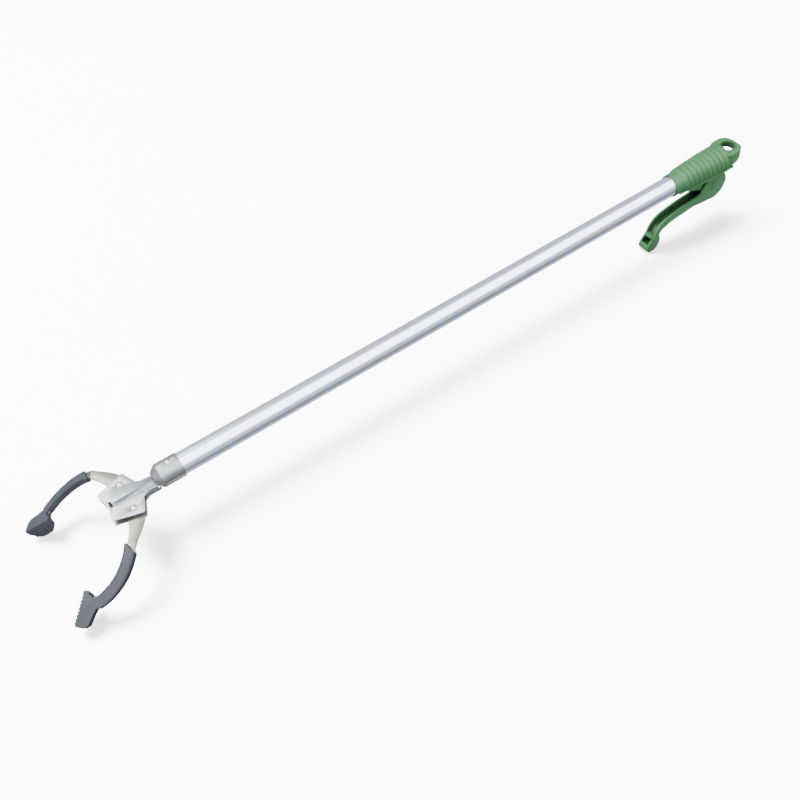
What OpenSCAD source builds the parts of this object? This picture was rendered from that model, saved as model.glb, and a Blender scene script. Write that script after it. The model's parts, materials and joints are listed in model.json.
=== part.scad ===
// Reacher grabber: a long tube with a trigger grip at one end and two claw jaws at the other.
// Working axes: x along the tube from its front end towards the grip, z up, y to the user's right.
// place() moves the finished pieces so that the origin is below the middle of the tool.

/* [Tube] */
// Length of the aluminium tube
tube_len = 756; // [500:1:900]
// Outside diameter of the tube
tube_d = 25; // [24.6:0.1:25]
// Wall thickness of the tube
tube_wall = 1.2; // [1:0.1:1.6]

/* [Pull rod] */
// Diameter of the pull rod
rod_d = 3; // [2.6:0.1:3.2]
// Running clearance of pins and rod, per side
run_clear = 0.05; // [0.03:0.01:0.1]

/* [Head] */
// Thickness of the stamped head plates
plate_t = 1.5; // [1.2:0.1:1.5]
// Distance from the tube end forward to the jaw pivots
pivot_ahead = 38; // [38:0.5:40]
// Distance of each jaw pivot from the centre plane
pivot_side = 18; // [17.5:0.5:18.5]
// Diameter of the jaw pivot rivets
rivet_d = 5; // [4:0.5:5]

/* [Jaws] */
// Thickness of the steel jaw arms
jaw_t = 2.5; // [2:0.1:2.5]
// Downward bend of the jaws, in degrees
jaw_bend = 32.6; // [28:0.2:34]
// Radius of the bowed arm's middle line
bow_r = 69.8; // [69:0.1:71]
// Length of the gripping pad
pad_len = 34; // [30:0.5:36]
// How far the pad's lower lip hangs below the jaw plane
pad_drop = 14.5; // [11:0.5:15]

/* [Trigger and grip] */
// Full swing of the trigger, in degrees
trigger_swing = 18.8; // [15:0.2:19]
// Height of the pull rod above the trigger pivot
crank_r = 34; // [32:0.5:34]
// Outside width of the trigger channel
trigger_w = 16; // [16:0.5:20]
// Radius of the grip at its front and at its rear
grip_r_front = 15.2; // [14.8:0.1:16]
grip_r_rear = 18.6; // [17:0.1:20]
// Number of finger ribs round the grip
rib_count = 10; // [6:1:12]
// Diameter of the hanging hole
hang_d = 18; // [16:0.5:18]

/* [Hidden] */
$fn = 64;

green = [0.20, 0.45, 0.25];
zinc = [0.75, 0.77, 0.80];
steel = [0.70, 0.70, 0.68];
nylon = [0.85, 0.85, 0.82];
rubber = [0.27, 0.29, 0.33];
tube_r = tube_d / 2;
bore_r = tube_r - tube_wall;
side_gap = 0.3;
eps = 0.02;

// Head levels: both jaws lie between the plates, the right one above the left one,
// and the whole sandwich sits below the pull rod, which runs in the upper plate's rib.
head_z = -6;
jaw_low = side_gap / 2;
jaw_mid = jaw_low + jaw_t / 2;
plate_in = jaw_low + jaw_t + side_gap;
plate_out = plate_in + plate_t;
seam_z = -2.3;
rib_wall = 1;
rib_top = 3.2;
rib_half = 5.4;
rib_crest = 2.6;
rib_end = -54;
neck_half = 8.6;
neck_end = -22.8;
collar_len = 24.6;
cone_len = 7;
collar_t = 1.1;
collar_in = tube_r + 0.05;
collar_out = collar_in + collar_t;
rivet_x = -pivot_ahead;

// Jaw linkage: the drive pin starts ahead of the pivots and ends behind them.
pin_d = 4;
slot_clear = 0.35;
pin_ahead = 8;
rod_travel = 2 * crank_r * tan(trigger_swing / 2);
jaw_swing = atan(pin_ahead / pivot_side) + atan((rod_travel - pin_ahead) / pivot_side);
pin_x = rivet_x - pin_ahead;

// Jaw outline, in the flat blank with the jaws closed: u forward and v outward from the pivot.
bow_u = 52.5;
bow_v = -50;
arm_half = 4.7;
sleeve_half = 6;
sleeve_shift = -0.5;
sleeve_t = 6.8;
boss_r = 9.5;
pad_u = 95;
pad_end = pad_u + pad_len;
pad_in = 0.4 - pivot_side;
pad_back = 2.8;
pad_lip = 6.5;
bend_u = 35.4;
bend_flat = jaw_mid / tan(jaw_bend);
bend_slope = jaw_mid / sin(jaw_bend);
tooth_pitch = 3.7;
tooth_depth = 1.1;

// Rod line: front stop, spring and guides inside the tube.
bush_len = 10;
collar_x = bush_len + 0.5;
stop_len = 4;
spring_x = collar_x + stop_len;
spring_len = 48;
spring_r = 7.5;
spring_wire = 1.6;
spring_turns = 9;
seat_x = spring_x + spring_len;
mid_x = tube_len / 2;
rear_bush_x = tube_len - 20;
block_half = 4.2;
block_low = head_z + plate_in + 0.15;
block_top = rib_top - rib_wall - 0.3;

// Grip and trigger.
grip_x = tube_len - 48.5;
grip_end = grip_x + 88;
ledge_z = -5.5;
belly_r = 14.4;
pivot_x = tube_len + 27;
pivot_z = -crank_r;
yoke_x = pivot_x - crank_r * tan(trigger_swing / 2);
skirt_in = 3;
skirt_out = 5.2;
channel_half = skirt_out + 0.4;
crank_half = skirt_in - 0.4;
disc_r = 20;
web_t = 2.6;
foot_z = -86.5;
tongue_half = 17.7;
tongue_end = tube_len + 62;
tongue_turn = 13;
tongue_z = 8.8;
tongue_t = 4;
hang_x = tongue_end - 13.5;
rib_pitch = 7.2;
rib_h = 1.5;

// The open pad's inner front corner fixes the tool's front end.
pad_round = 1.5;
tip_u = bend_u + (pad_end - pad_round - bend_u) * cos(jaw_bend) + sleeve_t / 2 * sin(jaw_bend);
tip_reach = tip_u * cos(jaw_swing) - (pad_in + pad_round) * sin(jaw_swing)
    + pad_round * norm([cos(jaw_bend) * cos(jaw_swing), sin(jaw_swing)]);
tip_x = rivet_x - tip_reach;
middle_x = (tip_x + tongue_end) / 2;
axis_h = -foot_z;

module place() translate([-middle_x, 0, axis_h]) children();

module rod_cyl(x, len, r) translate([x, 0, 0]) rotate([0, 90, 0]) cylinder(r = r, h = len);

module ring(x, len, r_out, r_in) difference() {
    rod_cyl(x, len, r_out);
    rod_cyl(x - 1, len + 2, r_in);
}

// Profile in x and z, extruded to a given half width about the centre plane.
module side_slab(half) rotate([90, 0, 0]) translate([0, 0, -half])
    linear_extrude(2 * half) children();

module tube() color("silver") place() difference() {
    ring(0, tube_len, tube_r, bore_r);
    for (z = [-1, 1]) translate([13.7, 0, z * tube_r])
        cylinder(d = 3.2, h = 8, center = true);
    translate([grip_x + 8, 0, -tube_r]) cylinder(d = 3, h = 8, center = true);
}

module plate_outline() {
    front = rivet_x - 24.7;
    offset(r = 2.5) offset(delta = -2.5) polygon([
        [front, -19.5], [front + 3.8, 0], [front, 19.5], [rivet_x + 7.8, 30], [neck_end, 11.5],
        [neck_end + 6, neck_half], [2, neck_half], [2, -neck_half], [neck_end + 6, -neck_half],
        [neck_end, -11.5], [rivet_x + 7.8, -30]]);
}

// Straight slot along x with round ends.
module slot_cut(x0, x1, w, h) {
    for (x = [x0, x1]) translate([x, 0, 0]) cylinder(d = w, h = h);
    translate([x0, -w / 2, 0]) cube([x1 - x0, w, h]);
}

// Hollow rib of the upper stamping, from x0 to x1; inset moves its faces inwards.
module rib_bar(x0, x1, inset) rotate([90, 0, 90]) translate([0, 0, x0]) linear_extrude(x1 - x0)
    polygon([for (m = [-1, 1], k = [0, 1, 2]) let (j = m < 0 ? k : 2 - k)
        [m * ([rib_half - inset, rib_half - inset, rib_crest - 0.6 * inset][j]),
         [head_z + plate_in - 2 * inset, head_z + plate_out - inset, rib_top - inset][j]]]);

// Half of the sleeve round the tube, with its shoulder and side lips; up is 1 or -1.
module half_collar(up) {
    low = up > 0 ? seam_z + 0.1 : -30;
    lip_z = up > 0 ? seam_z + 0.1 : seam_z - 0.1 - collar_t;
    intersection() {
        union() {
            rod_cyl(0, collar_len, collar_out);
            translate([-cone_len, 0, 0]) rotate([0, 90, 0]) cylinder(r1 = 7.6, r2 = collar_out, h = cone_len);
        }
        translate([-20, -30, low]) cube([60, 60, 30 + (up > 0 ? 0 : seam_z - 0.1)]);
    }
    for (m = [0, 1]) mirror([0, m, 0]) translate([2, collar_in, lip_z])
        cube([collar_len - 2, 2, collar_t]);
}

// Openings shared by both halves: tube bore, rod hole, two side eyes and the rivet hole.
module collar_cuts() {
    rod_cyl(0, collar_len + 1, collar_in);
    translate([-cone_len - 0.01, 0, 0]) rotate([0, 90, 0])
        cylinder(r1 = 7.6 - 1.2 * collar_t, r2 = collar_in, h = cone_len + 0.02);
    for (y = [-11.4, 11.4]) translate([-6, y, seam_z]) rotate([0, 90, 0]) cylinder(d = 3.6, h = 7);
    translate([13.7, 0, -20]) cylinder(d = 3.2, h = 40);
}

module head_plate_upper() color(zinc) place() difference() {
    union() {
        difference() {
            union() {
                translate([0, 0, head_z + plate_in]) linear_extrude(plate_t) plate_outline();
                for (m = [0, 1]) mirror([0, m, 0])
                    translate([neck_end + 1.5, neck_half - rib_wall, head_z + 0.15])
                    cube([-neck_end - 5, rib_wall, plate_out - 0.15]);
            }
            translate([-6, -50, -20]) cube([20, 100, 40]);
            translate([-cone_len - 0.1, -50, -20]) cube([20, 100, 20 + seam_z + 0.1]);
        }
        rib_bar(rib_end, -3, 0);
        half_collar(1);
    }
    collar_cuts();
    rib_bar(rib_end - 3, 1, rib_wall);
    translate([pin_x - 2.5, -10, 0.1]) cube([9, 20, 1.9]);
    for (s = [-1, 1]) translate([rivet_x, s * pivot_side, -20]) cylinder(d = rivet_d, h = 40);
}

module head_plate_lower() color(zinc) place() difference() {
    union() {
        intersection() {
            translate([0, 0, head_z - plate_out]) linear_extrude(plate_t) plate_outline();
            translate([-100, -50, -20]) cube([94, 100, 40]);
        }
        for (m = [0, 1]) mirror([0, m, 0])
            translate([neck_end + 1.5, neck_half - rib_wall, head_z - plate_out])
            cube([-neck_end - 5, rib_wall, plate_out - 0.15]);
        half_collar(-1);
    }
    collar_cuts();
    translate([0, 0, -20]) slot_cut(pin_x, pin_x + rod_travel, pin_d + 2 * slot_clear, 20);
    for (s = [-1, 1]) translate([rivet_x, s * pivot_side, -20]) cylinder(d = rivet_d, h = 40);
}

module collar_rivets() color(steel) place() for (m = [0, 1]) mirror([0, 0, m]) {
    translate([13.7, 0, bore_r - 1]) cylinder(d = 3.2, h = collar_out - bore_r + 1.2);
    difference() {
        translate([13.7, 0, collar_out - 0.5]) intersection() {
            translate([0, 0, -3.9]) sphere(r = 5.6);
            cylinder(d = 6.4, h = 3);
        }
        rod_cyl(5, 18, collar_out);
    }
}

// Nylon block that fills the neck behind the jaws and guides the rod.
module neck_guide() color(nylon) place() difference() {
    union() {
        rib_bar(-20, -12, rib_wall);
        translate([-20, rib_wall - neck_half, head_z - plate_in])
            cube([8, 2 * (neck_half - rib_wall), 2 * plate_in]);
    }
    rod_cyl(-21, 12, rod_d / 2 + run_clear);
}

module jaw_rivet(s) color(steel) place() translate([rivet_x, s * pivot_side, head_z]) {
    cylinder(d = rivet_d, h = 2 * plate_out, center = true);
    for (m = [0, 1]) mirror([0, 0, m]) translate([0, 0, plate_out]) intersection() {
        translate([0, 0, -2.6]) sphere(r = 4.8);
        cylinder(d = 7.8, h = 3);
    }
}
module jaw_rivet_left() jaw_rivet(-1);
module jaw_rivet_right() jaw_rivet(1);

module jaw_spacer(s) color(steel) place()
    translate([rivet_x, s * pivot_side, head_z + (s > 0 ? -plate_in : jaw_low)]) difference() {
        cylinder(r = 6.5, h = plate_in - jaw_low);
        translate([0, 0, -1]) cylinder(d = rivet_d, h = 10);
    }
module jaw_spacer_left() jaw_spacer(-1);
module jaw_spacer_right() jaw_spacer(1);

// Puts a jaw built in blank axes (u along x, v along y, right-hand jaw) in its open place.
module open_jaw(s) mirror([0, s > 0 ? 0 : 1, 0]) translate([rivet_x, pivot_side, head_z])
    rotate([0, 0, -jaw_swing]) mirror([1, 0, 0]) children();

// Bends what lies past the bend line down; both jaws share one drooping middle plane.
module bent() translate([bend_u, 0, 0]) rotate([0, jaw_bend, 0]) translate([-bend_u, 0, 0]) children();

// Points of a curved band, and where a flat-blank point lies in plan once the arm is bent.
function bow_points(half, a0, a1, n) = concat(
    [for (i = [0:n]) let (a = a0 + (a1 - a0) * i / n)
        [bow_u + (bow_r + half) * cos(a), bow_v + (bow_r + half) * sin(a)]],
    [for (i = [n:-1:0]) let (a = a0 + (a1 - a0) * i / n)
        [bow_u + (bow_r - half) * cos(a), bow_v + (bow_r - half) * sin(a)]]);
function in_plan(p) = [p[0] <= bend_u ? p[0] : bend_u + (p[0] - bend_u) * cos(jaw_bend), p[1]];

// Side view of the bent sheet, as x and z from the jaw pivot.
module sheet_side(s) {
    at = bend_u - s * bend_flat;
    far = 110;
    corner = jaw_t / 2 * tan(jaw_bend / 2);
    polygon([[-20, s * jaw_mid - jaw_t / 2], [at - corner, s * jaw_mid - jaw_t / 2],
        [at + far * cos(jaw_bend) - jaw_t / 2 * sin(jaw_bend),
            s * jaw_mid - far * sin(jaw_bend) - jaw_t / 2 * cos(jaw_bend)],
        [at + far * cos(jaw_bend) + jaw_t / 2 * sin(jaw_bend),
            s * jaw_mid - far * sin(jaw_bend) + jaw_t / 2 * cos(jaw_bend)],
        [at + corner, s * jaw_mid + jaw_t / 2], [-20, s * jaw_mid + jaw_t / 2]]);
}

// Steel arm: pivot boss, slotted tail and bowed arm with the downward bend.
module jaw_arm(s) color(steel) place() open_jaw(s) difference() {
    tail = atan(pin_ahead / pivot_side) - jaw_swing;
    union() {
        intersection() {
            side_slab(60) sheet_side(s);
            translate([0, 0, -90]) linear_extrude(120) union() {
                polygon([for (p = bow_points(arm_half, 128, 46, 24)) in_plan(p)]);
                polygon([[-6, 6], [3, 14], [12, 17.2], [21.7, 19.4], [32, 21], [32, 11],
                         [24, 7.4], [15, 1.5], [8, -4]]);
                polygon([for (p = [[94, -4], [100, -1.5], [110, -4], [121, -7.5], [121, -12], [104, -11]]) in_plan(p)]);
            }
        }
        translate([0, 0, s * jaw_mid - jaw_t / 2]) {
            cylinder(r = boss_r, h = jaw_t);
            rotate([0, 0, tail]) {
                translate([-5, -20, 0]) cube([10, 20, jaw_t]);
                translate([0, -19.5, 0]) cylinder(r = 5.2, h = jaw_t);
            }
        }
    }
    translate([0, 0, -5]) cylinder(r = rivet_d / 2 + run_clear, h = 10);
    translate([0, 0, -5]) rotate([0, 0, tail - 90]) slot_cut(pivot_side - 0.4,
        norm([pivot_side, pin_ahead]) + 0.4, pin_d + 2 * slot_clear, 10);
}
module jaw_arm_left() jaw_arm(-1);
module jaw_arm_right() jaw_arm(1);

module sleeve_outline() offset(r = pad_round) offset(delta = -pad_round) {
    difference() {
        translate([0, sleeve_shift]) polygon(bow_points(sleeve_half, 107, 45, 20));
        translate([42.6, 23]) rotate(57) translate([-30, 0]) square([60, 30]);
    }
    polygon([[pad_u - 3, pad_in], [pad_u - 2, pad_in + 4], [97.6, -4.4], [95, -1.5], [101.5, 4.2], [105, 1.4],
             [112, pad_back - 3.4], [pad_end - 5, -2.4], [pad_end - 1, -6], [pad_end, pad_in]]);
}

// Rubber moulding: curved sleeve, broad paddle and a hanging lip with a toothed gripping face.
module jaw_sleeve(s) color(rubber) difference() {
    place() open_jaw(s) difference() {
        bent() union() {
            translate([0, 0, -sleeve_t / 2]) linear_extrude(sleeve_t) sleeve_outline();
            translate([0, pad_in + pad_lip, 0]) rotate([90, 0, 0]) linear_extrude(pad_lip)
                offset(r = 1.5) offset(delta = -1.5) polygon([[pad_u - 3, sleeve_t / 2],
                    [pad_u - 1.5, -3], [pad_u + 2, -pad_drop * 0.68], [pad_u + 7, -pad_drop * 0.93],
                    [pad_u + 13, -pad_drop], [pad_end - 13, -pad_drop], [pad_end - 7, -pad_drop * 0.93],
                    [pad_end - 2, -pad_drop * 0.68], [pad_end, -3], [pad_end, sleeve_t / 2]]);
        }
        bent() for (i = [0:8]) translate([pad_u + 2.8 + i * tooth_pitch, pad_in, 0])
            rotate([0, 0, 45]) cube([tooth_depth * sqrt(2), tooth_depth * sqrt(2), 60], center = true);
    }
    jaw_arm(s);
}
module jaw_sleeve_left() jaw_sleeve(-1);
module jaw_sleeve_right() jaw_sleeve(1);

module pull_rod() color(steel) place() rod_cyl(pin_x + 4, yoke_x - 12 - pin_x - 4, rod_d / 2);

// Block on the rod's front end that slides in the rib and carries the drive pin.
module rod_block() color(zinc) place() difference() {
    translate([pin_x - 5, 0, 0]) rotate([90, 0, 90]) linear_extrude(14) polygon([[-block_half, block_low],
        [block_half, block_low], [block_half, head_z + plate_out - 0.6], [1.9, block_top],
        [-1.9, block_top], [-block_half, head_z + plate_out - 0.6]]);
    rod_cyl(pin_x + 4, 20, rod_d / 2);
    translate([pin_x, 0, -10]) cylinder(d = pin_d, h = 20);
}

// Vertical pin through the block, both jaw tails and the lower plate.
module drive_pin() color(steel) place() translate([pin_x, 0, head_z - plate_out + 0.2])
    cylinder(d = pin_d, h = block_top - head_z + plate_out - 0.3);

module rod_yoke() color(zinc) place() difference() {
    union() {
        rod_cyl(yoke_x - 24, 14, 4.5);
        translate([yoke_x - 12, -5, -4]) cube([4, 10, 8]);
        for (m = [0, 1]) mirror([0, m, 0]) {
            translate([yoke_x - 12, skirt_in, -4]) cube([12, 2, 8]);
            translate([yoke_x, skirt_in, 0]) rotate([-90, 0, 0]) cylinder(r = 4, h = 2);
        }
    }
    rod_cyl(yoke_x - 30, 18, rod_d / 2);
    translate([yoke_x, 0, 0]) rotate([90, 0, 0]) cylinder(d = pin_d, h = 30, center = true);
}

module yoke_pin() color(steel) place() translate([yoke_x, 0, 0]) rotate([90, 0, 0]) {
    cylinder(d = pin_d, h = 12, center = true);
    translate([0, 0, 5]) cylinder(d = 6, h = 1.2);
}

module rod_collar() color(zinc) place() ring(collar_x, stop_len, 9, rod_d / 2);
module front_bush() color(nylon) place() ring(0, bush_len, bore_r, rod_d / 2 + run_clear);
module spring_seat() color(nylon) place() ring(seat_x, bush_len, bore_r, rod_d / 2 + run_clear);
module mid_guide() color(nylon) place() ring(mid_x, bush_len, bore_r, rod_d / 2 + run_clear);
module rear_bush() color(nylon) place() ring(rear_bush_x, bush_len, bore_r, rod_d / 2 + run_clear);

// Helical compression spring between the rod collar and its seat.
coil_steps = 16;
coil_sides = 8;
coil_rows = spring_turns * coil_steps;
coil_lead = (spring_len - spring_wire - 0.4) / coil_rows;
function coil_point(i, k) = let (a = 360 * i / coil_steps, b = 360 * k / coil_sides,
    r = spring_r + spring_wire / 2 * cos(b)) [spring_x + 0.2 + spring_wire / 2 + coil_lead * i
    + spring_wire / 2 * sin(b), r * cos(a), r * sin(a)];

module return_spring() color("dimgray") place() polyhedron(
    [for (i = [0:coil_rows], k = [0:coil_sides - 1]) coil_point(i, k)],
    concat([[for (k = [coil_sides - 1:-1:0]) k]],
        [for (i = [0:coil_rows - 1], k = [0:coil_sides - 1]) let (n = (k + 1) % coil_sides)
            [i * coil_sides + k, i * coil_sides + n, (i + 1) * coil_sides + n, (i + 1) * coil_sides + k]],
        [[for (k = [0:coil_sides - 1]) coil_rows * coil_sides + k]]), convexity = 12);

// Ribbed upper half of the grip, as a shape turned about the tube.
module grip_barrel() rotate([0, 90, 0]) rotate_extrude() polygon(concat(
    [[0, grip_x + 9], [belly_r, grip_x + 9]],
    [for (i = [0:rib_count - 1], a = [0:30:180]) [
        grip_r_front + (grip_r_rear - grip_r_front) * sin(90 * (i + a / 180) / rib_count) + rib_h * sin(a) - 0.4,
        grip_x + 12 + (i + a / 180) * rib_pitch]],
    [[grip_r_rear, grip_end - 3], [grip_r_rear - 3, grip_end], [0, grip_end]]));

// The same barrel without its ribs.
module grip_core() rotate([0, 90, 0]) rotate_extrude() polygon(concat([[0, grip_x + 9], [belly_r, grip_x + 9]],
    [for (i = [0:6]) [grip_r_front + (grip_r_rear - grip_r_front) * sin(15 * i) + 0.8,
        grip_x + 12 + 12 * i]], [[grip_r_rear, grip_end], [0, grip_end]]));

module grip_skirt() side_slab(skirt_out) {
    polygon([[grip_x + 3.5, -4], [grip_x + 6, -9], [grip_x + 27.5, -19.5], [grip_x + 49.5, -29],
             [pivot_x - 9, pivot_z - 2], [pivot_x + 9, pivot_z - 2], [grip_end - 0.5, -22], [grip_end, -4]]);
    translate([pivot_x, pivot_z]) circle(r = 9);
}

// Flat tab behind the grip, seen from above; inset leaves a rim round its edge.
module tab_outline(inset) {
    wide = tongue_half - inset;
    turn = tongue_end - tongue_turn;
    polygon([[grip_end - 12, -12], [grip_end - 1, -wide], [turn, -wide], [turn, wide], [grip_end - 1, wide],
             [grip_end - 12, 12]]);
    for (s = [-1, 1]) translate([turn, s * (tongue_half - tongue_turn)]) circle(r = tongue_turn - inset);
    translate([turn - 5, tongue_turn - tongue_half])
        square([tongue_turn + 5 - inset, 2 * (tongue_half - tongue_turn)]);
}

module handle_grip() color(green) place() difference() {
    union() {
        intersection() {
            grip_barrel();
            translate([grip_x, -30, ledge_z]) cube([120, 60, 60]);
        }
        rod_cyl(grip_x, grip_end - grip_x, belly_r);
        grip_skirt();
        intersection() {
            grip_core();
            translate([grip_x, -30, ledge_z]) cube([120, 60, -ledge_z + 0.5]);
        }
        translate([0, 0, ledge_z]) linear_extrude(2.2) polygon([for (m = [-1, 1], k = [0:3])
            let (j = m < 0 ? k : 3 - k) [[grip_x + 3, grip_x + 18, grip_x + 52, grip_end + 2][j],
                m * [16, 17.6, 20.4, 20.8][j]]]);
        intersection() {
            translate([0, 0, -20]) linear_extrude(60) tab_outline(0);
            side_slab(30) polygon([[grip_end - 12, ledge_z], [grip_end + 2, ledge_z],
                [tongue_end, 3.5], [tongue_end, tongue_z + tongue_t], [grip_end - 12, tongue_z + tongue_t]]);
        }
    }
    intersection() {
        translate([0, 0, -20]) linear_extrude(20 + tongue_z) tab_outline(3);
        translate([grip_end, -30, -20]) cube([60, 60, 60]);
    }
    rod_cyl(grip_x - 1, tube_len + 1 - grip_x, tube_r);
    rod_cyl(tube_len - 1, grip_end - 1.5 - tube_len + 1, tube_r - 0.5);
    translate([grip_x + 3, -skirt_in, -60]) cube([grip_end, 2 * skirt_in, 60 - belly_r + 0.4]);
    translate([tube_len + 1, -skirt_in, -60]) cube([grip_end - 1.5 - tube_len - 1, 2 * skirt_in, 60]);
    translate([pivot_x, 0, pivot_z]) rotate([90, 0, 0]) cylinder(d = rivet_d, h = 40, center = true);
    translate([hang_x, 0, tongue_z - 0.1]) cylinder(d = hang_d, h = 20);
    translate([grip_x + 8, 0, -30]) cylinder(d = 3, h = 20);
}

module handle_screw() color(steel) place() translate([grip_x + 8, 0, 0]) {
    translate([0, 0, -16]) cylinder(d = 3, h = 5.5);
    translate([0, 0, -16.2]) cylinder(d = 5.6, h = 2.2);
}

// Trigger in side view: pivot disc, lever and turned-down foot.
module trigger_side() {
    translate([pivot_x, pivot_z]) circle(r = disc_r);
    polygon([[pivot_x - 19, pivot_z + 7], [pivot_x - 23, pivot_z - 1], [pivot_x - 30, pivot_z - 4],
             [pivot_x - 50, pivot_z - 5.5], [pivot_x - 65, pivot_z - 7.5], [pivot_x - 82, pivot_z - 11],
             [pivot_x - 91, pivot_z - 15.5], [pivot_x - 97, pivot_z - 23], [pivot_x - 100, pivot_z - 30],
             [pivot_x - 109, pivot_z - 41], [pivot_x - 111, foot_z + 7], [pivot_x - 107, foot_z],
             [pivot_x - 96, foot_z], [pivot_x - 91, foot_z + 6], [pivot_x - 88.5, pivot_z - 40],
             [pivot_x - 91, pivot_z - 30], [pivot_x - 88, pivot_z - 26], [pivot_x - 71, pivot_z - 20.5],
             [pivot_x - 33, pivot_z - 16.5], [pivot_x - 8, pivot_z - 19]]);
}

// Height of the lever's lower edge above the trigger pivot.
function finger_z(x) = lookup(x, [[-88, -26], [-71, -20.5], [-33, -16.5], [-8, -19]]);

// Space inside the trigger channel, open upwards, with a wall left round its outer edge.
module trigger_hollow() {
    translate([pivot_x, pivot_z]) circle(r = disc_r - web_t);
    polygon([[pivot_x - 2, pivot_z + 30], [pivot_x - 20, pivot_z + 30], [pivot_x - 60, pivot_z + 10],
             [pivot_x - 110, pivot_z - 5], [pivot_x - 112, pivot_z - 37], [pivot_x - 105, pivot_z - 42],
             [pivot_x - 94, pivot_z - 42], [pivot_x - 93.8, pivot_z - 30], [pivot_x - 89, pivot_z - 23.8],
             [pivot_x - 71, pivot_z - 18], [pivot_x - 33, pivot_z - 14], [pivot_x - 6, pivot_z - 16.5]]);
    polygon([[pivot_x, pivot_z], [pivot_x - 12, pivot_z + 40], [pivot_x + 60, pivot_z + 40],
             [pivot_x + 60, pivot_z + 4]]);
}

module trigger_lever() color(green) place() difference() {
    union() {
        difference() {
            side_slab(trigger_w / 2) trigger_side();
            side_slab(channel_half) trigger_hollow();
        }
        side_slab(crank_half) {
            translate([pivot_x - 6, pivot_z - disc_r + 1]) square([12, disc_r]);
            translate([pivot_x, pivot_z]) circle(r = 8);
            translate([pivot_x, pivot_z]) rotate(trigger_swing / 2) {
                translate([-5, 0]) square([10, crank_r]);
                translate([0, crank_r + 0.2]) circle(r = 5);
            }
        }
        for (s = [-1, 1]) translate([pivot_x, s * trigger_w / 2, pivot_z]) rotate([90, 0, 0])
            cylinder(r = 5.4, h = 1.2, center = true);
        translate([pivot_x - 104, -channel_half, pivot_z - 32]) cube([11, 2 * channel_half, 2]);
    }
    translate([pivot_x, 0, pivot_z]) rotate([90, 0, 0])
        cylinder(r = rivet_d / 2 + run_clear, h = trigger_w - 0.6, center = true);
    for (i = [0:16]) let (x = -84 + 3.4 * i) translate([pivot_x + x, 0, pivot_z + finger_z(x) - 0.1])
        rotate([90, 0, 0]) cylinder(r = 1.25, h = 30, center = true, $fn = 16);
    translate([pivot_x, 0, pivot_z]) rotate([90, 0, 0]) rotate([0, 0, 90 + trigger_swing / 2])
        translate([0, 0, -10]) slot_cut(crank_r - 0.3, crank_r / cos(trigger_swing / 2) + 0.3,
            pin_d + 2 * side_gap, 20);
}

module trigger_pin() color(steel) place() translate([pivot_x, 0, pivot_z]) rotate([90, 0, 0])
    cylinder(d = rivet_d, h = trigger_w - 1.2, center = true);

tube();
head_plate_upper();
head_plate_lower();
collar_rivets();
neck_guide();
jaw_rivet_left();
jaw_rivet_right();
jaw_spacer_left();
jaw_spacer_right();
jaw_arm_left();
jaw_arm_right();
jaw_sleeve_left();
jaw_sleeve_right();
pull_rod();
rod_block();
drive_pin();
rod_yoke();
yoke_pin();
rod_collar();
front_bush();
return_spring();
spring_seat();
mid_guide();
rear_bush();
handle_grip();
handle_screw();
trigger_lever();
trigger_pin();
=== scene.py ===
import json
import math

import bmesh
import bpy
from mathutils import Matrix, Vector


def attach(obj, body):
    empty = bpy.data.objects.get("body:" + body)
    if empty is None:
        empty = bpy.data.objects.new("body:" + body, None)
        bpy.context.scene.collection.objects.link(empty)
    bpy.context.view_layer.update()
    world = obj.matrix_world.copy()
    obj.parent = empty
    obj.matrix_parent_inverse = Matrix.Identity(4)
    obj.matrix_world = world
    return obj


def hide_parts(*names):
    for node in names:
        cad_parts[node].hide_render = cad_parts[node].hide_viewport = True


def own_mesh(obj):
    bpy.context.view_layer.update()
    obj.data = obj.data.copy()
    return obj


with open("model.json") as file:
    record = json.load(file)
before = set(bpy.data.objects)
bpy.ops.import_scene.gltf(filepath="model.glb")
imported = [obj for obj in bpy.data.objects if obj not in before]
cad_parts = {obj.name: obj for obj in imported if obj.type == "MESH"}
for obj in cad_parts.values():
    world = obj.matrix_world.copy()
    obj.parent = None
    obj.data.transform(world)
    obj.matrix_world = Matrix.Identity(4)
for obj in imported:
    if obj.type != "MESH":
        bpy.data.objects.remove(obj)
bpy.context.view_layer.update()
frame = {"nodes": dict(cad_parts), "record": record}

# The tool's own axes start at the tube's front end; the row frame starts below the tool's middle.
MID_X, AXIS_H = 337.329, 86.5


def at(x, y, z):
    """A place given in tool millimetres, in the row frame."""
    return Vector(((x - MID_X) / 1000, y / 1000, (z + AXIS_H) / 1000))


# ---------------------------------------------------------------- materials

def new_mat(name):
    """A new material, its node tree and its main shader."""
    m = bpy.data.materials.new(name)
    m.use_nodes = True
    nt = m.node_tree
    return m, nt, nt.nodes["Principled BSDF"]


def noise(nt, scale, stretch=(1, 1, 1), detail=4.0):
    """A noise value over the object's own coordinates."""
    tc = nt.nodes.new("ShaderNodeTexCoord")
    mp = nt.nodes.new("ShaderNodeMapping")
    mp.inputs["Scale"].default_value = stretch
    tx = nt.nodes.new("ShaderNodeTexNoise")
    tx.inputs["Scale"].default_value = scale
    tx.inputs["Detail"].default_value = detail
    tx.inputs["Roughness"].default_value = 0.6
    nt.links.new(tc.outputs["Object"], mp.inputs["Vector"])
    nt.links.new(mp.outputs["Vector"], tx.inputs["Vector"])
    return tx.outputs["Fac"]


def ramp(nt, fac, stops):
    """A colour from a value, through (position, colour) stops."""
    r = nt.nodes.new("ShaderNodeValToRGB")
    while len(r.color_ramp.elements) < len(stops):
        r.color_ramp.elements.new(0.5)
    for e, (p, c) in zip(r.color_ramp.elements, stops):
        e.position = p
        e.color = (*c, 1)
    nt.links.new(fac, r.inputs["Fac"])
    return r.outputs["Color"]


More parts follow.
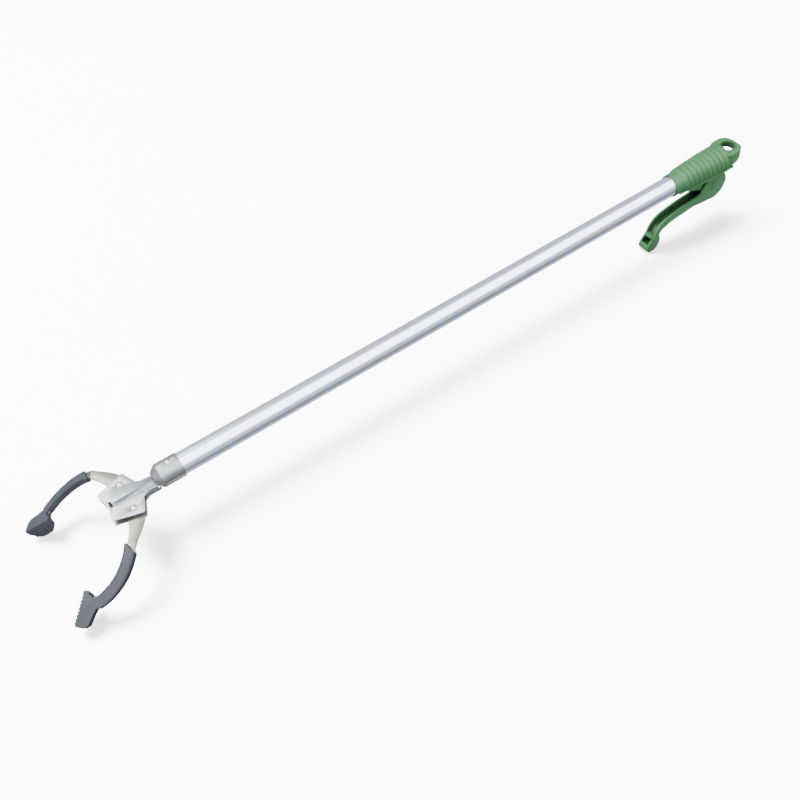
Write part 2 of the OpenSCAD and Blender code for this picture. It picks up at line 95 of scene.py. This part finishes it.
def span(nt, fac, lo, hi):
    """A value from 0 to 1 stretched to run from lo to hi."""
    m = nt.nodes.new("ShaderNodeMapRange")
    m.inputs["To Min"].default_value = lo
    m.inputs["To Max"].default_value = hi
    nt.links.new(fac, m.inputs["Value"])
    return m.outputs["Result"]


def bump(nt, bsdf, parts):
    """parts: (height socket, strength, distance in metres), stacked."""
    last = None
    for height, strength, dist in parts:
        b = nt.nodes.new("ShaderNodeBump")
        b.inputs["Strength"].default_value = strength
        b.inputs["Distance"].default_value = dist
        nt.links.new(height, b.inputs["Height"])
        if last is not None:
            nt.links.new(last, b.inputs["Normal"])
        last = b.outputs["Normal"]
    nt.links.new(last, bsdf.inputs["Normal"])


def surface(name, light, dark, metallic, rough, patch=90, fine=1500, fine_stretch=(1, 1, 1),
            bump_fine=0.15, bump_patch=0.0, spread=0.08, shine=0.5, painted_shade_reach=0.0):
    """A patchy two-tone surface with a fine grain: used for every metal, plastic and rubber.
    The last argument paints shade into the colour by ambient occlusion: places with walls nearer than that
    many metres are darkened."""
    m, nt, b = new_mat(name)
    broad = noise(nt, patch, detail=5)
    grain = noise(nt, fine, fine_stretch, detail=3)
    tone = ramp(nt, broad, [(0.3, dark), (0.7, light)])
    # Painted shade: ambient occlusion darkens the colour in recesses and between ribs.
    if painted_shade_reach:
        ao = nt.nodes.new("ShaderNodeAmbientOcclusion")
        ao.samples = 8
        ao.inputs["Distance"].default_value = painted_shade_reach
        nt.links.new(tone, ao.inputs["Color"])
        tone = ao.outputs["Color"]
    nt.links.new(tone, b.inputs["Base Color"])
    nt.links.new(span(nt, grain, rough - spread, rough + spread), b.inputs["Roughness"])
    b.inputs["Metallic"].default_value = metallic
    b.inputs["Specular IOR Level"].default_value = shine
    parts = [(grain, bump_fine, 0.0001)]
    if bump_patch:
        parts.append((broad, bump_patch, 0.0005))
    bump(nt, b, parts)
    return m


TUBE = surface("tube_anodised", (0.80, 0.87, 1.0), (0.73, 0.81, 0.97), 1.0, 0.26, patch=18, fine=900,
               fine_stretch=(0.02, 1, 1), bump_fine=0.06, spread=0.05)
PLATE = surface("plate_zinc", (0.29, 0.305, 0.315), (0.21, 0.225, 0.235), 0.85, 0.38, patch=140, fine=2200,
                bump_fine=0.12, bump_patch=0.08)
ARM = surface("arm_zinc", (0.21, 0.21, 0.18), (0.16, 0.16, 0.135), 0.8, 0.42, patch=110, fine=1800,
              bump_fine=0.12, bump_patch=0.08)
RIVET = surface("rivet_steel", (0.50, 0.50, 0.50), (0.38, 0.38, 0.38), 0.9, 0.32, patch=300, fine=2600,
                bump_fine=0.12)
DARK = surface("spring_dark", (0.20, 0.20, 0.22), (0.12, 0.12, 0.13), 0.9, 0.4, patch=200, fine=2000)
NYLON = surface("nylon_white", (0.78, 0.77, 0.72), (0.68, 0.67, 0.62), 0.0, 0.5, patch=60, fine=1600)
# The rubber and the green grip get painted shade in their recesses, through ambient occlusion in the colour.
RUBBER = surface("rubber_grey", (0.034, 0.038, 0.052), (0.022, 0.025, 0.036), 0.0, 0.55, patch=45, fine=2600,
                 bump_fine=0.3, bump_patch=0.05, shine=0.4, painted_shade_reach=0.006)
GREEN = surface("grip_green", (0.050, 0.190, 0.060), (0.032, 0.145, 0.042), 0.0, 0.48, patch=30, fine=2400,
                bump_fine=0.22, bump_patch=0.03, shine=0.32, painted_shade_reach=0.02)

LOOKS = {
    "tube": TUBE, "stamping": PLATE, "arm_steel": ARM, "rivet": RIVET, "fitting": RIVET,
    "nylon": NYLON, "spring_steel": DARK, "rubber": RUBBER, "grip_green": GREEN,
}
SLOT_OF = {s["node"]: s["material_slot"] for s in frame["record"]["subparts"]}
BODY_OF = {n: b for b, ns in frame["record"]["behaviour"]["bodies"].items() for n in ns}


# ---------------------------------------------------------------- softened copies of the CAD shapes

WELD = 2e-6             # metres
FLAT_ANGLE = 0.6        # degrees; faces that meet at less are joined
BEVEL_ANGLE = 28        # degrees; edges sharper than this are rounded


def shown(name, mesh):
    """A new object in the scene with this mesh."""
    o = bpy.data.objects.new(name, mesh)
    bpy.context.scene.collection.objects.link(o)
    return o


def finish_mesh(o, angle=40):
    """Smooth shading that keeps edges sharper than angle."""
    for p in o.data.polygons:
        p.use_smooth = True
    o.data.set_sharp_from_angle(angle=math.radians(angle))


def clean_copy(node, name):
    """A welded copy of a CAD node's mesh with its flat faces joined up."""
    me = frame["nodes"][node].data.copy()
    me.name = name
    me.materials.clear()
    bm = bmesh.new()
    bm.from_mesh(me)
    bmesh.ops.remove_doubles(bm, verts=bm.verts, dist=WELD)
    bmesh.ops.dissolve_limit(bm, angle_limit=math.radians(FLAT_ANGLE), verts=bm.verts, edges=bm.edges)
    bm.to_mesh(me)
    bm.free()
    return shown(name, me)


def apply_modifiers(o):
    dg = bpy.context.evaluated_depsgraph_get()
    me = bpy.data.meshes.new_from_object(o.evaluated_get(dg))
    o.modifiers.clear()
    o.data = me


def softened(node, width):
    """A copy of a CAD node with edges rounded width mm wide, shown in that node's place."""
    o = clean_copy(node, "look_" + node)
    if width:
        b = o.modifiers.new("edge", "BEVEL")
        b.width = width / 1000
        b.segments = 3
        b.limit_method = "ANGLE"
        b.angle_limit = math.radians(BEVEL_ANGLE)
        b.use_clamp_overlap = True
        b.miter_outer = "MITER_ARC"
        b.harden_normals = False
    apply_modifiers(o)
    finish_mesh(o)
    o.data.materials.clear()
    o.data.materials.append(LOOKS[SLOT_OF[node]])
    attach(o, BODY_OF[node])
    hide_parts(node)
    return o


EDGE = {
    "head_plate_upper": 0.45, "head_plate_lower": 0.45, "jaw_arm_left": 0.4, "jaw_arm_right": 0.4,
    "jaw_rivet_left": 0.25, "jaw_rivet_right": 0.25, "handle_grip": 0.7, "trigger_lever": 0.6,
    "trigger_pin": 0.4, "collar_rivets": 0.2, "jaw_sleeve_left": 0.5, "jaw_sleeve_right": 0.5,
    "return_spring": 0,
}
for node, width in EDGE.items():
    look = softened(node, width)
    if node == "return_spring":
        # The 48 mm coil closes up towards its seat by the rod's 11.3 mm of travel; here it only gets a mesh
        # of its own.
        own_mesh(look)


# ---------------------------------------------------------------- raised lines on the mouldings

def bead(name, path, radius, node, closed=False):
    """A round raised line through tool points, half sunk in the surface that it follows.
    It takes its body and finish from the CAD node that it lies on."""
    pts = [at(*q) for q in path]
    n, sides = len(pts), 8
    turns = [k * math.tau / sides for k in range(sides)]
    verts, faces = [], []
    for i, q in enumerate(pts):
        before = pts[(i - 1) % n] if closed or i else q
        after = pts[(i + 1) % n] if closed or i < n - 1 else q
        along = (after - before).normalized()
        side = along.cross(Vector((0, 0, 1))).normalized()
        lift = side.cross(along)
        r = radius / 1000 * (1 if closed or 0 < i < n - 1 else 0.35)
        verts += [q + side * (r * math.cos(a)) + lift * (r * math.sin(a)) for a in turns]
    for i in range(n if closed else n - 1):
        for k in range(sides):
            j, m = (i + 1) % n, (k + 1) % sides
            faces.append((i * sides + k, i * sides + m, j * sides + m, j * sides + k))
    if not closed:
        faces += [tuple(range(sides)), tuple(range(n * sides - 1, (n - 1) * sides - 1, -1))]
    me = bpy.data.meshes.new(name)
    me.from_pydata(verts, [], faces)
    me.update()
    o = shown(name, me)
    finish_mesh(o, 60)
    me.materials.append(LOOKS[SLOT_OF[node]])
    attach(o, BODY_OF[node])


# Jaw measures, as in the CAD: bend line and angle, open swing, pivot place, and the bow's arc.
BEND_U, BEND, SWING = 35.4, math.radians(32.6), math.radians(34.21988)
PIVOT_AHEAD, PIVOT_SIDE, HEAD_Z = 38, 18, -6
BOW_U, BOW_V, BOW_R = 52.5, -50.5, 69.8
SLEEVE_TOP = 3.35


def on_jaw(u, v, w, s):
    """Flat-blank jaw point (forward, outward, up) put in its open place; s is 1 right, -1 left."""
    if u > BEND_U:
        du = u - BEND_U
        u, w = (BEND_U + du * math.cos(BEND) + w * math.sin(BEND),
                w * math.cos(BEND) - du * math.sin(BEND))
    x, y = -u, v
    c, d = math.cos(-SWING), math.sin(-SWING)
    x, y = x * c - y * d, x * d + y * c
    return (x - PIVOT_AHEAD, s * (y + PIVOT_SIDE), w + HEAD_Z)


def on_bow(offset, deg, s):
    """A point on a sleeve's top face, offset outwards from the bow's middle line."""
    a, r = math.radians(deg), BOW_R + offset
    return on_jaw(BOW_U + r * math.cos(a), BOW_V + r * math.sin(a), SLEEVE_TOP, s)


for s, tag in ((1, "right"), (-1, "left")):
    for edge, offset in (("outer", 4.7), ("inner", -4.7)):
        line = [on_bow(offset, 100 - 2.0 * i, s) for i in range(24)]
        bead("bead_%s_%s" % (edge, tag), line, 0.45, "jaw_sleeve_" + tag)

HOLE_X, RIM_R, RIM_Z, RIM_STEPS = 804.5, 9.9, 12.75, 48
rim = [(HOLE_X + RIM_R * math.cos(a), RIM_R * math.sin(a), RIM_Z)
       for a in (i * math.tau / RIM_STEPS for i in range(RIM_STEPS))]
bead("hole_rim", rim, 0.7, "handle_grip", closed=True)

# The other CAD nodes are shown as they are, in their finish.
for node, obj in frame["nodes"].items():
    if node not in EDGE:
        obj.data.materials.clear()
        obj.data.materials.append(LOOKS[SLOT_OF[node]])


# ---------------------------------------------------------------- floor, light, camera

def sheet(name, corners):
    """One four-cornered face, for the floor and the cards."""
    me = bpy.data.meshes.new(name)
    me.from_pydata(corners, [], [(0, 1, 2, 3)])
    return shown(name, me)


# The floor is tilted through these two places, given as x and z in tool millimetres, and set a
# hair below them. The rear one is the trigger's foot. The front one is a little too low, so the
# pads stand 6.6 mm above the floor.
FRONT_LOW, REAR_LOW = (-104.0, -71.0), (678.0, -86.5)
FLOOR_GAP = 0.15
FAR = 6000
slope = (REAR_LOW[1] - FRONT_LOW[1]) / (REAR_LOW[0] - FRONT_LOW[0])


def floor_z(x):
    return REAR_LOW[1] + slope * (x - REAR_LOW[0]) - FLOOR_GAP


floor = sheet("floor", [at(x, y, floor_z(x)) for x, y in
                        ((-FAR, -FAR), (FAR, -FAR), (FAR, FAR), (-FAR, FAR))])
paper, nt, b = new_mat("paper_white")
nt.links.new(ramp(nt, noise(nt, 4), [(0.2, (0.90, 0.90, 0.91)), (0.8, (0.93, 0.93, 0.935))]),
             b.inputs["Base Color"])
b.inputs["Roughness"].default_value = 0.9
b.inputs["Specular IOR Level"].default_value = 0.1
b.inputs["Emission Color"].default_value = (1, 1, 1, 1)
b.inputs["Emission Strength"].default_value = 1.6
floor.data.materials.append(paper)
floor.visible_diffuse = floor.visible_glossy = False

world = bpy.data.worlds.new("studio")
bpy.context.scene.world = world
world.use_nodes = True
sky = world.node_tree.nodes["Background"]
sky.inputs["Color"].default_value = (0.86, 0.92, 1.0, 1)
sky.inputs["Strength"].default_value = 0.95


def aim(direction):
    """The turn that points a lamp along direction."""
    return Vector(direction).to_track_quat("-Z", "Y").to_euler()


def area(name, place, target, size, power):
    """A soft rectangular lamp at place, aimed at target."""
    d = bpy.data.lights.new(name, "AREA")
    d.shape = "RECTANGLE"
    d.size, d.size_y = size
    d.energy = power
    o = shown(name, d)
    o.location = place
    o.rotation_euler = aim(Vector(target) - Vector(place))


area("key", (-0.9, 1.1, 1.9), (0, 0, 0.05), (1.2, 0.8), 95)
area("fill", (1.4, -1.6, 1.8), (0, 0, 0.05), (1.8, 1.2), 22)
area("front", (-1.8, -0.8, 1.4), (-0.2, 0, 0.05), (1.2, 1.0), 18)

# The paper sweep has its own sun, so that it stays white while the tool is lit gently.
sun = bpy.data.lights.new("floor_sun", "SUN")
sun.energy = 24
sun.angle = math.radians(24)
lamp = shown("floor_sun", sun)
lamp.rotation_euler = aim((0.25, -0.62, -1.9))
only_floor = bpy.data.collections.new("floor_only")
only_floor.objects.link(floor)
lamp.light_linking.receiver_collection = only_floor



def reflections_only(o):
    o.visible_camera = o.visible_diffuse = o.visible_shadow = o.visible_transmission = False


# A long soft strip overhead, seen only in reflections.
strip = sheet("soft_strip", [(-3, -1.6, 0.9), (3, -1.6, 0.9), (3, 0.3, 1.85), (-3, 0.3, 1.85)])
glow, nt, b = new_mat("strip_glow")
nt.links.new(ramp(nt, noise(nt, 3), [(0.2, (0.94, 0.96, 1.0)), (0.8, (1, 1, 1))]),
             b.inputs["Emission Color"])
b.inputs["Emission Strength"].default_value = 6.0
strip.data.materials.append(glow)
reflections_only(strip)

# A dark card lying in front of the tool, seen only in reflections.
card = sheet("dark_card", [at(-250, -60, -60), at(900, -60, -70), at(900, -260, -72), at(-250, -260, -62)])
felt, nt, b = new_mat("card_felt")
nt.links.new(ramp(nt, noise(nt, 200), [(0.3, (0.05, 0.05, 0.06)), (0.7, (0.07, 0.07, 0.08))]),
             b.inputs["Base Color"])
b.inputs["Roughness"].default_value = 0.95
card.data.materials.append(felt)
reflections_only(card)

cam = bpy.data.cameras.new("camera")
cam.sensor_width = 36
cam.lens = 45
cam.clip_end = 50
eye = shown("camera", cam)
right, up, back = (0.8206, -0.5632, -0.0962), (0.4846, 0.5969, 0.6393), (-0.3027, -0.5712, 0.7629)
eye.matrix_world = Matrix.Translation(at(-70, -678, 808)) @ Matrix((right, up, back)).transposed().to_4x4()
bpy.context.scene.camera = eye
